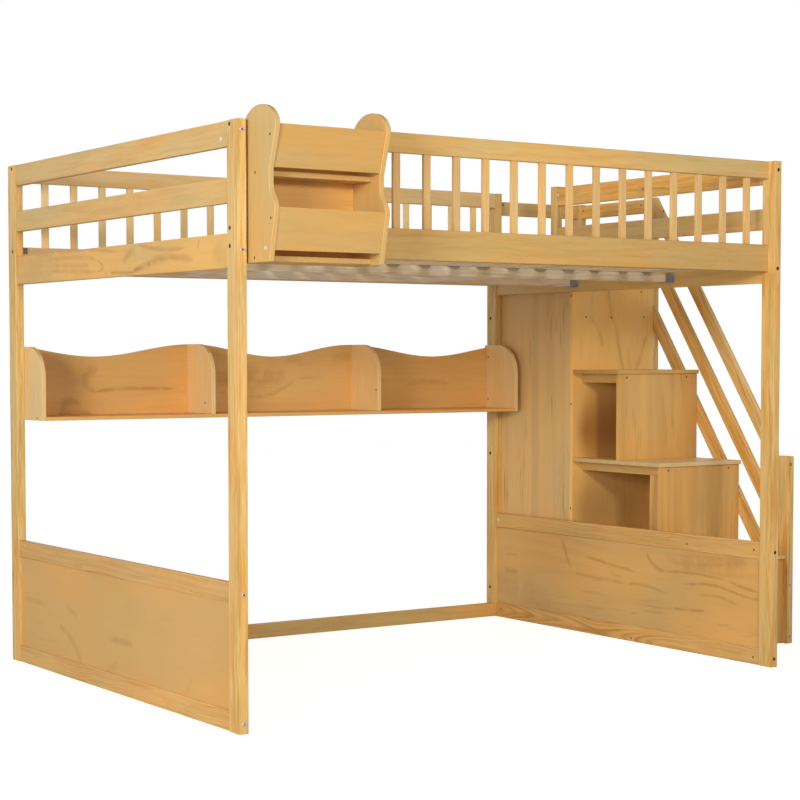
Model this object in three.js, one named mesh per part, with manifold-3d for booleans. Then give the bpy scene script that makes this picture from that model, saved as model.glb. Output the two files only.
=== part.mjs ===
// Full-size loft bed in honey pine, with a wave-backed hanging shelf, a small two-tier
// bookcase on the front guard, box stairs with open cubbies, and a wardrobe under the landing.
// Millimetres, +Z up. While building, x = 0 is the outer face of the left end,
// y = 0 the front face of the front posts and z = 0 the floor.
import * as THREE from 'three';
import { mergeVertices } from 'three/addons/utils/BufferGeometryUtils.js';
import Module from 'manifold-3d';

const wasm = await Module();
wasm.setup();

// Bed frame
const bedLength = 1990;
const bedWidth = 1540;
const bedHeight = 1630;
const postThickness = 28;
const postWidth = 57;
const postChamfer = 3;
const railThickness = 20;
const railSetback = 4;
const railChamfer = 2;

// Rails and boards of the two ends
const topRailHeight = 68;
const rightRailDrop = 4;
const upperRailGap = 82;
const midRailHeight = 67;
const lowerRailGap = 80;
const endBoardHeight = 92;
const lowerPanelHeight = 402;
const lowerPanelRail = 55;
const lowerPanelPly = 9;

// Guards along the front and the back
const guardSetback = 30;
const guardThickness = 22;
const guardBoardHeight = 87;
const guardRailHeight = 56;
const balusterCount = 18;
const balusterLength = 210;
const frontBalusterGaps = [74.5, 74.5];
const backBalusterGaps = [72, 86];
const balusterWidth = 24;
const balusterThickness = 11;
const balusterTenon = 12;

// Mattress support
const slatCount = 16;
const slatEndGap = 74.5;
const slatWidth = 68;
const slatThickness = 18;
const slatPlay = 1;
const ledgeWidth = 22;
const ledgeThickness = 13;
const strapWidth = 25;
const strapThickness = 1.6;
const strapInset = 160;
const beamHeight = 30;
const beamWidth = 46;

// Entry gap and the rail along the floor
const entryPostWidth = 33;
const entryGap = 335;
const stretcherHeight = 52;
const stretcherSetback = 30;

// Wave-backed hanging shelf
const shelfBottom = 798;
const shelfDepth = 192;
const shelfBackSetback = 5;
const shelfBoard = 12;
const shelfPanel = 15;
const shelfMiddleBay = 662;
const shelfCornerRadius = 105;
const shelfHeight = 251;
const shelfLeftEndDrop = 11;
const waveDepth = 43;
const waveCrestOffset = 327;
const waveDipOffset = 698;
const waveSteps = 72;

// Two-tier bookcase on the front guard, with heights above its own lower edge
const bookcaseLeft = 35;
const bookcaseWidth = 358;
const bookcaseOverhang = 25;
const bookcaseReach = 140;
const bookcaseSide = 15;
const bookcaseBackPly = 5;
const bookcaseShelfDepth = 93;
const bookcaseShelfThickness = 15;
const lowerShelfHeight = 3;
const upperShelfHeight = 225;
const waistDepth = 35;
const waistAboveShelf = 13;
const waistBelowShelf = 17;
const bulgeDepth = 6;
const bulgeBelowShelf = 93;
const lipThickness = 10;
const lipHeight = 110;
const lipInset = 2;
const upperLipLean = 4;
const lowerLipGap = 12;
const upperLipGap = 5;
const headBelowLip = 5;
const headRise = 60;

// Stairs
const stairWidth = 390;
const stepCount = 3;
const stairRun = 222.5;
const stairRise = 323;
const landingDrop = 10;
const firstRiser = 361.5;
const riserSetback = 14;
const treadThickness = 14;
const treadNose = 10;
const boxPanel = 15;
const cubbyRailHeight = 33;
const cubbyStileWidth = 75;
const cubbyRailSetback = 46;

// Handrail beside the stairs
const handrailThickness = 14;
const handrailDrop = 91;
const handrailSlope = 1.44;
const handrailSpacing = 211;
const handrailRise = 18;
const footPostLead = 20;
const footPostEdge = 39;
const stairPostDrop = 25;
const landingRailHeight = 52;
const landingRailDrop = 4;
const landingRailSetback = 20;

// Wardrobe under the landing
const wardrobeSetback = 22;
const wardrobePanel = 15;
const wardrobeFloorBottom = 42;
const notchClearance = 0.3;
const doorThickness = 15;
const doorGap = 2;
const doorEndGap = 3;
const pivotPinRadius = 4;
const pivotPinLength = 10;
const pivotHoleClearance = 0.3;
const fingerHoleRadius = 16;
const fingerHoleInset = 45;
const rodRadius = 12.5;
const rodDrop = 89;

// How far a cutter or a glued piece reaches past the face that it meets
const overlap = 1;

// Lines that several pieces share
const innerLeft = postThickness;
const innerRight = bedLength - postThickness;
const innerFront = postWidth;
const innerBack = bedWidth - postWidth;
const railLeftX = railSetback;
const railRightX = bedLength - railSetback - railThickness;
const beamSpanLeft = railLeftX + railThickness;
const topRailBottom = bedHeight - topRailHeight;
const rightRailBottom = topRailBottom - rightRailDrop;
const midRailBottom = topRailBottom - upperRailGap - midRailHeight;
const endBoardTop = midRailBottom - lowerRailGap;
const endBoardBottom = endBoardTop - endBoardHeight;
const guardRailBottom = bedHeight - guardRailHeight;
const guardBoardTop = guardRailBottom - balusterLength;
const guardBoardBottom = guardBoardTop - guardBoardHeight;
const slatBottom = guardBoardBottom + ledgeThickness;
const stairLeft = bedLength;
const stairRight = bedLength + stairWidth;
const outerX = stairRight + postThickness;
const landingTop = slatBottom - landingDrop;
const landingBottom = landingTop - treadThickness;
const wardrobeFront = firstRiser + stairRun * stepCount + wardrobeSetback;
const stairPostHeight = bedHeight - stairPostDrop;
const footPostFront = firstRiser - footPostLead;
const footPostHeight = handrailEdge(0, footPostFront + footPostEdge);
const entryPostY = innerBack - entryGap - entryPostWidth;
const cornerPostBack = wardrobeFront + postWidth;
const shelfBackY = bedWidth - shelfBackSetback;
const shelfFrontY = shelfBackY - shelfDepth;
const shelfTop = shelfBottom + shelfHeight;
const bookcaseBackY = guardSetback;
const bookcaseFrontY = -bookcaseReach;
const bookcaseBottom = guardBoardBottom - bookcaseOverhang;
const lowerShelf = bookcaseBottom + lowerShelfHeight;
const upperShelf = bookcaseBottom + upperShelfHeight;
const waistTop = upperShelf + waistAboveShelf;
const waistBottom = upperShelf - waistBelowShelf;
const bulgeLevel = upperShelf - bulgeBelowShelf;
const lowerLip = lowerShelf + bookcaseShelfThickness + lowerLipGap;
const upperLip = upperShelf + bookcaseShelfThickness + upperLipGap;
const headCentre = upperLip + lipHeight - headBelowLip;
const pivotX = outerX - doorThickness / 2;
const pivotY = innerBack - doorGap - doorThickness / 2;
const floorTop = wardrobeFloorBottom + treadThickness;
const doorBottom = floorTop + doorEndGap;
const doorTop = landingBottom - doorEndGap;
const originX = outerX / 2;
const originY = (bedWidth + bookcaseFrontY) / 2;

// Materials
function wood(color, roughness) {
  return new THREE.MeshStandardMaterial({ color, roughness, metalness: 0 });
}
const pinePost = wood(0xdfae6a, 0.5);
const pineRail = wood(0xd6a660, 0.5);
const pineBoard = wood(0xd2a15c, 0.52);
const panelPly = wood(0xcb9a5a, 0.55);
const slatWood = wood(0xcdb898, 0.75);
const beamWood = wood(0xc2b098, 0.75);

const part = new THREE.Group();
part.name = 'loft_bed_with_wardrobe';

// Solid helpers
function block(x0, x1, y0, y1, z0, z1) {
  const geometry = new THREE.BoxGeometry(x1 - x0, y1 - y0, z1 - z0);
  geometry.translate((x0 + x1) / 2, (y0 + y1) / 2, (z0 + z1) / 2);
  return geometry;
}

function extrude(shape, length, curveSegments = 12) {
  return new THREE.ExtrudeGeometry(shape, { depth: length, bevelEnabled: false, curveSegments });
}

// A shape drawn in (y, z), extruded along x
function alongX(shape, x0, x1, curveSegments) {
  const geometry = extrude(shape, x1 - x0, curveSegments);
  geometry.applyMatrix4(new THREE.Matrix4().set(0, 0, 1, x0, 1, 0, 0, 0, 0, 1, 0, 0, 0, 0, 0, 1));
  return geometry;
}

// A shape drawn in (z, x), extruded along y
function alongY(shape, y0, y1, curveSegments) {
  const geometry = extrude(shape, y1 - y0, curveSegments);
  geometry.applyMatrix4(new THREE.Matrix4().set(0, 1, 0, 0, 0, 0, 1, y0, 1, 0, 0, 0, 0, 0, 0, 1));
  return geometry;
}

// A shape drawn in (x, y), extruded along z
function alongZ(shape, z0, z1, curveSegments) {
  const geometry = extrude(shape, z1 - z0, curveSegments);
  geometry.translate(0, 0, z0);
  return geometry;
}

function polygon(points) {
  return new THREE.Shape(points.map(([a, b]) => new THREE.Vector2(a, b)));
}

function chamferedRectangle(a0, a1, b0, b1, cut) {
  return polygon([
    [a0 + cut, b0],
    [a1 - cut, b0],
    [a1, b0 + cut],
    [a1, b1 - cut],
    [a1 - cut, b1],
    [a0 + cut, b1],
    [a0, b1 - cut],
    [a0, b0 + cut],
  ]);
}

function toManifold(geometry) {
  const bare = geometry.clone();
  bare.deleteAttribute('normal');
  bare.deleteAttribute('uv');
  const welded = mergeVertices(bare, 1e-4);
  const mesh = new wasm.Mesh({
    numProp: 3,
    vertProperties: new Float32Array(welded.attributes.position.array),
    triVerts: new Uint32Array(welded.index.array),
  });
  return new wasm.Manifold(mesh);
}

function fromManifold(solid) {
  const mesh = solid.getMesh();
  const geometry = new THREE.BufferGeometry();
  geometry.setAttribute('position', new THREE.BufferAttribute(new Float32Array(mesh.vertProperties), 3));
  geometry.setIndex(new THREE.BufferAttribute(new Uint32Array(mesh.triVerts), 1));
  const flat = geometry.toNonIndexed();
  flat.computeVertexNormals();
  return flat;
}

function fuse(geometries) {
  const solids = geometries.map(toManifold);
  return fromManifold(solids.reduce((whole, piece) => whole.add(piece)));
}

function cut(geometry, cutters) {
  const solids = cutters.map(toManifold);
  return fromManifold(solids.reduce((whole, piece) => whole.subtract(piece), toManifold(geometry)));
}

function place(name, geometry, material) {
  const mesh = new THREE.Mesh(geometry, material.clone());
  mesh.name = name;
  geometry.translate(-originX, -originY, 0);
  part.add(mesh);
}

// Posts: upright bars with eased long edges
function post(name, x0, y0, height, width = postWidth, bottom = 0) {
  const outline = chamferedRectangle(x0, x0 + postThickness, y0, y0 + width, postChamfer);
  place(name, alongZ(outline, bottom, height), pinePost);
}

function posts() {
  post('post_front_left', 0, 0, bedHeight);
  post('post_back_left', 0, innerBack, bedHeight);
  post('post_front_right', innerRight, 0, bedHeight);
  post('post_back_right', innerRight, innerBack, bedHeight);
  post('post_entry', innerRight, entryPostY, bedHeight, entryPostWidth, endBoardTop);
  post('stair_post_foot', stairRight, footPostFront, footPostHeight);
  post('stair_post_corner', stairRight, wardrobeFront, stairPostHeight);
  post('stair_post_back', stairRight, innerBack, stairPostHeight);
}

// Rails that run from front to back
function crossRail(name, x0, y0, y1, bottom, height, material = pineRail) {
  const outline = chamferedRectangle(bottom, bottom + height, x0, x0 + railThickness, railChamfer);
  place(name, alongY(outline, y0, y1), material);
}

function endFrames() {
  crossRail('left_end_top_rail', railLeftX, innerFront, innerBack, topRailBottom, topRailHeight);
  crossRail('left_end_mid_rail', railLeftX, innerFront, innerBack, midRailBottom, midRailHeight);
  crossRail('left_end_board', railLeftX, innerFront, innerBack, endBoardBottom, endBoardHeight, pineBoard);
  crossRail('right_end_top_rail', railRightX, innerFront, entryPostY, rightRailBottom, topRailHeight);
  crossRail('right_end_mid_rail', railRightX, innerFront, entryPostY, midRailBottom, midRailHeight);
  crossRail('right_end_board', railRightX, innerFront, innerBack, endBoardBottom, endBoardHeight, pineBoard);
}

// Lower end panel: two rails with a thinner sheet glued between them
function lowerPanel(name, x0) {
  const x1 = x0 + railThickness;
  const sheet0 = x0 + (railThickness - lowerPanelPly) / 2;
  const sheet1 = sheet0 + lowerPanelPly;
  const upper = lowerPanelHeight - lowerPanelRail;
  const section = polygon([
    [0, x0],
    [lowerPanelRail, x0],
    [lowerPanelRail, sheet0],
    [upper, sheet0],
    [upper, x0],
    [lowerPanelHeight, x0],
    [lowerPanelHeight, x1],
    [upper, x1],
    [upper, sheet1],
    [lowerPanelRail, sheet1],
    [lowerPanelRail, x1],
    [0, x1],
  ]);
  place(name, alongY(section, innerFront, innerBack), panelPly);
}

// Guard: a top rail with a row of balusters tenoned into it, set in by a gap at either end
function guard(name, y0, [leftGap, rightGap]) {
  const railSection = chamferedRectangle(y0, y0 + guardThickness, guardRailBottom, bedHeight, railChamfer);
  const pieces = [alongX(railSection, innerLeft, innerRight)];
  const barY = y0 + (guardThickness - balusterThickness) / 2;
  const barTop = guardRailBottom + balusterTenon;
  const firstLeft = innerLeft + leftGap;
  const lastLeft = innerRight - rightGap - balusterWidth;
  for (let index = 0; index < balusterCount; index += 1) {
    const left = firstLeft + ((lastLeft - firstLeft) * index) / (balusterCount - 1);
    pieces.push(block(left, left + balusterWidth, barY, barY + balusterThickness, guardBoardTop, barTop));
  }
  place(name, fuse(pieces), pineRail);
}

// Side board with a ledge along its inner face for the slats
function sideBoard(name, outerY, inward) {
  const faceOut = outerY;
  const faceIn = outerY + inward * guardThickness;
  const ledgeY = faceIn + inward * ledgeWidth;
  const section = polygon([
    [faceOut, guardBoardBottom],
    [ledgeY, guardBoardBottom],
    [ledgeY, slatBottom],
    [faceIn, slatBottom],
    [faceIn, guardBoardTop],
    [faceOut, guardBoardTop],
  ]);
  place(name, alongX(section, innerLeft, innerRight), pineBoard);
}

function guards() {
  guard('front_guard', guardSetback, frontBalusterGaps);
  sideBoard('front_side_board', guardSetback, 1);
  guard('back_guard', bedWidth - guardSetback - guardThickness, backBalusterGaps);
  sideBoard('back_side_board', bedWidth - guardSetback, -1);
  const y1 = bedWidth - stretcherSetback;
  const section = chamferedRectangle(y1 - railThickness, y1, 0, stretcherHeight, railChamfer);
  place('back_stretcher', alongX(section, innerLeft, innerRight), pineRail);
}

// Two long beams carry a roll of slats held together by straps
function mattressSupport() {
  [1, 2].forEach((share) => {
    const middle = (bedWidth * share) / 3;
    const y0 = middle - beamWidth / 2;
    const outline = chamferedRectangle(y0, y0 + beamWidth, slatBottom - beamHeight, slatBottom, railChamfer);
    const name = share === 1 ? 'support_beam_front' : 'support_beam_back';
    place(name, alongX(outline, beamSpanLeft, railRightX), beamWood);
  });
  const slatY0 = guardSetback + guardThickness + slatPlay;
  const slatY1 = bedWidth - slatY0;
  const pieces = [];
  const slatTop = slatBottom + slatThickness;
  const firstLeft = beamSpanLeft + slatEndGap;
  const lastLeft = railRightX - slatEndGap - slatWidth;
  for (let index = 0; index < slatCount; index += 1) {
    const left = firstLeft + ((lastLeft - firstLeft) * index) / (slatCount - 1);
    pieces.push(block(left, left + slatWidth, slatY0, slatY1, slatBottom, slatTop));
  }
  [slatY0 + strapInset, slatY1 - strapInset - strapWidth].forEach((strapY) => {
    const strapBottom = slatTop - strapThickness / 2;
    const strapTop = slatTop + strapThickness / 2;
    const strapEnd = lastLeft + slatWidth;
    pieces.push(block(firstLeft, strapEnd, strapY, strapY + strapWidth, strapBottom, strapTop));
  });
  place('slat_roll', fuse(pieces), slatWood);
}

// Upright of the hanging shelf: square at the back, a large quarter round at the top front
function shelfUpright(name, x0, bottom, backY, top = shelfTop) {
  const arcY = shelfFrontY + shelfCornerRadius;
  const arcZ = top - shelfCornerRadius;
  const outline = new THREE.Shape();
  outline.moveTo(shelfFrontY, bottom);
  outline.lineTo(backY, bottom);
  outline.lineTo(backY, top);
  outline.lineTo(arcY, top);
  outline.absarc(arcY, arcZ, shelfCornerRadius, Math.PI / 2, Math.PI, false);
  outline.lineTo(shelfFrontY, bottom);
  place(name, alongX(outline, x0, x0 + shelfPanel, 14), pineBoard);
}

// Share of the wave's depth at one place along the bed: 0 at a crest and 1 at a dip
function waveShare(x) {
  const away = Math.abs(x - bedLength / 2);
  if (away < waveCrestOffset) {
    return (1 + Math.cos((Math.PI * away) / waveCrestOffset)) / 2;
  }
  const halfWave = waveDipOffset - waveCrestOffset;
  return (1 - Math.cos((Math.PI * (away - waveCrestOffset)) / halfWave)) / 2;
}

// Back of the hanging shelf: its top edge is a wave with a crest by each divider and a dip in each bay
function waveBack(x0, x1, bottom) {
  const points = [
    [bottom, x1],
    [bottom, x0],
  ];
  for (let step = 0; step <= waveSteps; step += 1) {
    const x = x0 + ((x1 - x0) * step) / waveSteps;
    points.push([shelfTop - waveDepth * waveShare(x), x]);
  }
  place('wave_shelf_back', alongY(polygon(points), shelfBackY - shelfBoard, shelfBackY), pineBoard);
}

function hangingShelf() {
  const x0 = innerLeft + shelfPanel;
  const x1 = innerRight - shelfPanel;
  const top = shelfBottom + shelfBoard;
  waveBack(x0, x1, top);
  place('wave_shelf_bottom', block(x0, x1, shelfFrontY, shelfBackY, shelfBottom, top), pineBoard);
  shelfUpright('wave_shelf_end_left', innerLeft, shelfBottom, shelfBackY, shelfTop - shelfLeftEndDrop);
  shelfUpright('wave_shelf_end_right', x1, shelfBottom, shelfBackY);
  const dividerLeft = (bedLength - shelfMiddleBay) / 2 - shelfPanel;
  const dividerRight = (bedLength + shelfMiddleBay) / 2;
  shelfUpright('wave_shelf_divider_left', dividerLeft, top, shelfBackY - shelfBoard);
  shelfUpright('wave_shelf_divider_right', dividerRight, top, shelfBackY - shelfBoard);
}

// Bookcase side: a low round head, a waist at the upper shelf and a bulge above the lower one
function bookcaseSideOutline() {
  const halfDepth = (bookcaseBackY - bookcaseFrontY) / 2;
  const waistY = bookcaseFrontY + waistDepth;
  const bulgeY = bookcaseFrontY + bulgeDepth;
  const easing = (waistBottom - bulgeLevel) / 2;
  const outline = new THREE.Shape();
  outline.moveTo(bookcaseBackY, bookcaseBottom);
  outline.lineTo(bookcaseBackY, headCentre);
  outline.absellipse(bookcaseBackY - halfDepth, headCentre, halfDepth, headRise, 0, Math.PI, false);
  outline.lineTo(waistY, waistTop);
  outline.lineTo(waistY, waistBottom);
  outline.bezierCurveTo(waistY, waistBottom - easing, bulgeY, bulgeLevel + easing, bulgeY, bulgeLevel);
  outline.lineTo(waistY, bookcaseBottom);
  return outline;
}

// Where the side's front edge runs at a given height, on its two straight stretches
function bookcaseEdgeY(z) {
  const waistY = bookcaseFrontY + waistDepth;
  if (z > upperShelf) {
    const share = THREE.MathUtils.clamp((z - waistTop) / (headCentre - waistTop), 0, 1);
    return waistY - waistDepth * share;
  }
  const share = (z - bookcaseBottom) / (bulgeLevel - bookcaseBottom);
  return waistY - (waistDepth - bulgeDepth) * share;
}

// Sloping front board of one tier, leaning out along the side's front edge
function bookcaseFront(name, bottom, lean) {
  const top = bottom + lipHeight;
  const y0 = bookcaseEdgeY(bottom) + lipInset;
  const y1 = bookcaseEdgeY(top) + lipInset + lean;
  const outline = polygon([
    [y0, bottom],
    [y0 + lipThickness, bottom],
    [y1 + lipThickness, top],
    [y1, top],
  ]);
  const x0 = bookcaseLeft + bookcaseSide;
  const x1 = bookcaseLeft + bookcaseWidth - bookcaseSide;
  place(name, alongX(outline, x0, x1), pineBoard);
}

function bookcase() {
  const x0 = bookcaseLeft + bookcaseSide;
  const x1 = bookcaseLeft + bookcaseWidth - bookcaseSide;
  const side = bookcaseSideOutline();
  place('bookcase_side_left', alongX(side, bookcaseLeft, x0, 24), pineBoard);
  place('bookcase_side_right', alongX(side, x1, x1 + bookcaseSide, 24), pineBoard);
  const plyY = bookcaseBackY - bookcaseBackPly;
  place('bookcase_back', block(x0, x1, plyY, bookcaseBackY, bookcaseBottom, headCentre), panelPly);
  const shelfY = bookcaseBackY - bookcaseShelfDepth;
  const lowerTop = lowerShelf + bookcaseShelfThickness;
  const upperTop = upperShelf + bookcaseShelfThickness;
  place('bookcase_shelf_lower', block(x0, x1, shelfY, plyY, lowerShelf, lowerTop), pineBoard);
  place('bookcase_shelf_upper', block(x0, x1, shelfY, plyY, upperShelf, upperTop), pineBoard);
  bookcaseFront('bookcase_front_lower', lowerLip, 0);
  bookcaseFront('bookcase_front_upper', upperLip, upperLipLean);
}

// Upper face of a tread: equal rises counted down from the landing, the rest is the first rise
function treadTop(step) {
  return landingTop - stairRise * (stepCount + 1 - step);
}

// Stairs: stacked boxes, each with a tread, a riser, an outer side and an open left side
function stairBox(step) {
  const bottom = step === 1 ? 0 : treadTop(step - 1);
  const top = treadTop(step);
  const under = top - treadThickness;
  const front = firstRiser + stairRun * (step - 1);
  const nose = front - treadNose;
  place(`tread_${step}`, block(stairLeft, stairRight, nose, wardrobeFront, under, top), pineBoard);
  const inside = front + boxPanel;
  const railX = stairLeft + cubbyRailSetback;
  const riser = [block(stairLeft + riserSetback, stairRight, front, inside, bottom, under)];
  if (step === 2) {
    const stileTop = under - cubbyRailHeight;
    const stileEnd = inside + cubbyStileWidth;
    riser.push(block(railX, railX + boxPanel, inside - overlap, stileEnd, bottom, stileTop));
  }
  place(`riser_${step}`, step === 2 ? fuse(riser) : riser[0], panelPly);
  const side = block(stairRight - boxPanel, stairRight, inside, wardrobeFront, bottom, under);
  place(`stair_side_${step}`, side, panelPly);
  if (step > 1) {
    const low = under - cubbyRailHeight;
    const rail = block(railX, railX + boxPanel, inside, wardrobeFront, low, under);
    place(`cubby_rail_${step}`, rail, pineBoard);
  }
}

// Height of a handrail bar's upper edge: the highest bar runs just over the corner post's top
function handrailEdge(level, y) {
  const atCorner = stairPostHeight + handrailRise - level * handrailSpacing;
  return atCorner - handrailSlope * (wardrobeFront - y);
}

// Handrail bar between the foot post and the corner post, cut to the posts at both ends
function handrail(name, level) {
  const lowY = footPostFront + postWidth;
  const highY = wardrobeFront;
  const upper = (y) => handrailEdge(level, y);
  const whereUpper = (z) => highY - (upper(highY) - z) / handrailSlope;
  const points = [
    [lowY, upper(lowY) - handrailDrop],
    [highY, upper(highY) - handrailDrop],
  ];
  if (upper(highY) > stairPostHeight) {
    points.push([highY, stairPostHeight]);
    points.push([whereUpper(stairPostHeight), stairPostHeight]);
  } else {
    points.push([highY, upper(highY)]);
  }
  points.push([lowY, upper(lowY)]);
  place(name, alongX(polygon(points), stairRight, stairRight + handrailThickness), pineRail);
}

function stairs() {
  for (let step = 1; step <= stepCount; step += 1) {
    stairBox(step);
  }
  ['handrail_high', 'handrail_middle', 'handrail_low'].forEach(handrail);
  const landingRailTop = stairPostHeight - landingRailDrop;
  const low = landingRailTop - landingRailHeight;
  const sideX = stairRight + railSetback;
  crossRail('landing_rail_side', sideX, cornerPostBack, innerBack, low, landingRailHeight);
  const y1 = bedWidth - landingRailSetback;
  const section = chamferedRectangle(y1 - railThickness, y1, low, landingRailTop, railChamfer);
  place('landing_rail_back', alongX(section, bedLength, stairRight), pineRail);
}

// Board with a tongue that passes between the two outer posts and carries the door pivot
function notchedBoard(bottom, top, leftX, frontY, backY) {
  const outline = polygon([
    [leftX, frontY],
    [stairRight, frontY],
    [stairRight, cornerPostBack + notchClearance],
    [outerX, cornerPostBack + notchClearance],
    [outerX, innerBack - notchClearance],
    [stairRight, innerBack - notchClearance],
    [stairRight, backY],
    [leftX, backY],
  ]);
  const hole = new THREE.CylinderGeometry(
    pivotPinRadius + pivotHoleClearance,
    pivotPinRadius + pivotHoleClearance,
    top - bottom + 2 * overlap,
    24,
  );
  hole.rotateX(Math.PI / 2);
  hole.translate(pivotX, pivotY, (bottom + top) / 2);
  return cut(alongZ(outline, bottom, top), [hole]);
}

// Door: a plain panel with one half-round edge about its pivot, two pins and a finger hole
function door() {
  const half = doorThickness / 2;
  const farY = cornerPostBack + doorGap;
  const outline = new THREE.Shape();
  outline.moveTo(pivotX - half, pivotY);
  outline.lineTo(pivotX - half, farY);
  outline.lineTo(pivotX + half, farY);
  outline.lineTo(pivotX + half, pivotY);
  outline.absarc(pivotX, pivotY, half, 0, Math.PI, false);
  const panel = alongZ(outline, doorBottom, doorTop, 16);
  const pinLength = doorTop - doorBottom + 2 * pivotPinLength;
  const pins = new THREE.CylinderGeometry(pivotPinRadius, pivotPinRadius, pinLength, 24);
  pins.rotateX(Math.PI / 2);
  pins.translate(pivotX, pivotY, (doorBottom + doorTop) / 2);
  const hole = new THREE.CylinderGeometry(fingerHoleRadius, fingerHoleRadius, doorThickness * 3, 32);
  hole.rotateZ(Math.PI / 2);
  hole.translate(pivotX, farY + fingerHoleInset, (doorBottom + doorTop) / 2);
  place('wardrobe_door', cut(fuse([panel, pins]), [hole]), pineBoard);
}

function wardrobe() {
  const x0 = stairLeft;
  const x1 = x0 + wardrobePanel;
  const y0 = wardrobeFront;
  const y1 = y0 + wardrobePanel;
  const back = bedWidth - wardrobePanel;
  const nose = y0 - treadNose;
  const top = landingBottom;
  place('landing_board', notchedBoard(top, landingTop, x0, nose, bedWidth), pineBoard);
  place('wardrobe_floor', notchedBoard(wardrobeFloorBottom, floorTop, x1, y1, back), panelPly);
  place('wardrobe_side', block(x0, x1, y1, back, 0, top), panelPly);
  place('wardrobe_front', block(x0, stairRight, y0, y1, 0, top), panelPly);
  place('wardrobe_back', block(x0, stairRight, back, bedWidth, 0, top), panelPly);
  const rod = new THREE.CylinderGeometry(rodRadius, rodRadius, back - y1, 24);
  rod.translate((stairLeft + stairRight) / 2, (y1 + back) / 2, landingBottom - rodDrop);
  place('clothes_rod', rod, pinePost);
  door();
}

posts();
endFrames();
lowerPanel('left_lower_panel', railLeftX);
lowerPanel('right_lower_panel', railRightX);
guards();
mattressSupport();
hangingShelf();
bookcase();
stairs();
wardrobe();

export default part;
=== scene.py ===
# Loft bed with wardrobe, dressed in lacquered honey pine.
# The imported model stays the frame: every board, post and panel here stands where its solid stands.
import math
import random

import bmesh
import bpy
from mathutils import Matrix, Vector


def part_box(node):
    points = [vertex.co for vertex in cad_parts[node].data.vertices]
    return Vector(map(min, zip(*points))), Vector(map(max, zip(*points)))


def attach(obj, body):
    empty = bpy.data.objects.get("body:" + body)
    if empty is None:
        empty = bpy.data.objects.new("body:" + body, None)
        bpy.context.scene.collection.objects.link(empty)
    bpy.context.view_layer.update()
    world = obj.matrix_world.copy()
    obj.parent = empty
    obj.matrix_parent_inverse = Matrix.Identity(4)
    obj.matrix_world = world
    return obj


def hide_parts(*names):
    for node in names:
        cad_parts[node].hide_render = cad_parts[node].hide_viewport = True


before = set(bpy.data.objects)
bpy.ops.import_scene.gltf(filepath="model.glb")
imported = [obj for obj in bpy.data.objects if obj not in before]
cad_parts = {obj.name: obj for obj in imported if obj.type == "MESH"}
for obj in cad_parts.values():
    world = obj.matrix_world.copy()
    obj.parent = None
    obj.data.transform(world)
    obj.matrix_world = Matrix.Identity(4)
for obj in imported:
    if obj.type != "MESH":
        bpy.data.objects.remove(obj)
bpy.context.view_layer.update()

MM = 0.001
# The model's own zero (outer left face, front post faces) seen from the middle of its box
ORIGIN_X = 1204.0
ORIGIN_Y = 700.0
HANDRAIL_RISE = 1.44  # for each millimetre of run
AXES = {"x": Vector((1, 0, 0)), "y": Vector((0, 1, 0)), "z": Vector((0, 0, 1))}
AXES["handrail"] = Vector((0, 1, HANDRAIL_RISE)).normalized()

# Bed frame sizes in millimetres, as the solids have them
BED_LENGTH = 1990.0
BED_WIDTH = 1540.0
BED_HEIGHT = 1630.0
POST_THICKNESS = 28.0
GUARD_SETBACK = 30.0
GUARD_THICKNESS = 22.0
GUARD_RAIL_BOTTOM = 1574.0
GUARD_BOARD_TOP = 1364.0
GUARD_BOARD_BOTTOM = 1277.0
BALUSTERS = 18
BALUSTER_WIDTH = 24.0
BALUSTER_THICKNESS = 11.0
BALUSTER_TENON = 2.0
FRONT_BALUSTER_GAPS = (74.5, 74.5)
BACK_BALUSTER_GAPS = (72.0, 86.0)
LEDGE_WIDTH = 22.0
SLAT_BOTTOM = 1290.0
SLATS = 16
SLAT_WIDTH = 68.0
SLAT_THICKNESS = 18.0
SLAT_PITCH = 115.0
FIRST_SLAT_MIDDLE = 132.5
STRAP_MIDDLES = (225.5, 1314.5)
STRAP_WIDTH = 25.0
STRAP_THICKNESS = 0.8
BEAM_WIDTH = 46.0
BEAM_BOTTOM = 1260.0
RAIL_THICKNESS = 20.0
RAIL_SETBACK = 4.0
LEFT_RAIL_BACK = RAIL_SETBACK + RAIL_THICKNESS
RIGHT_RAIL_FACE = BED_LENGTH - RAIL_SETBACK - RAIL_THICKNESS
LOWER_PANEL_RAIL = 55.0
LOWER_PANEL_PLY = 9.0
LOWER_PANEL_GROOVE = 3.0
BOX_PANEL = 15.0

# How far edges are eased
POST_EASE = 1.6
RAIL_EASE = 2.4
BALUSTER_EASE = 1.8
LEDGE_EASE = 1.0
SLAT_EASE = 1.5
STRAP_EASE = 0.3
BOARD_EASE = 1.6
BOOKCASE_SIDE_EASE = 1.8
THIN_EASE = 1.0
PLY_EASE = 0.8
STEEL_EASE = 0.5
END_EASE = 0.7

# A shaped board's points are welded and its flat joints dissolved. Its corners are eased from the sharp angle up,
# and its curves are shaded smooth up to the soft one.
WELD = 1e-6
FLAT = math.radians(0.5)
SHARP = math.radians(40)
SOFT = math.radians(30)
BARELY_BENT = 0.005
LOOKS_ALONG = 0.7  # the cosine from which a face looks along a board or an axis, or an edge runs along it


def at(x, y, z):
    """A point given in the model's own millimetres, in the scene's metres."""
    return Vector(((x - ORIGIN_X) * MM, (y - ORIGIN_Y) * MM, z * MM))


# Node helpers


def socket(tree, where, value):
    """Links a socket to an input, or writes a plain value on it."""
    if isinstance(value, bpy.types.NodeSocket):
        tree.links.new(value, where)
    else:
        where.default_value = value


def feed(tree, made, inputs):
    for name, value in inputs.items():
        socket(tree, made.inputs[name], value)


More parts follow.
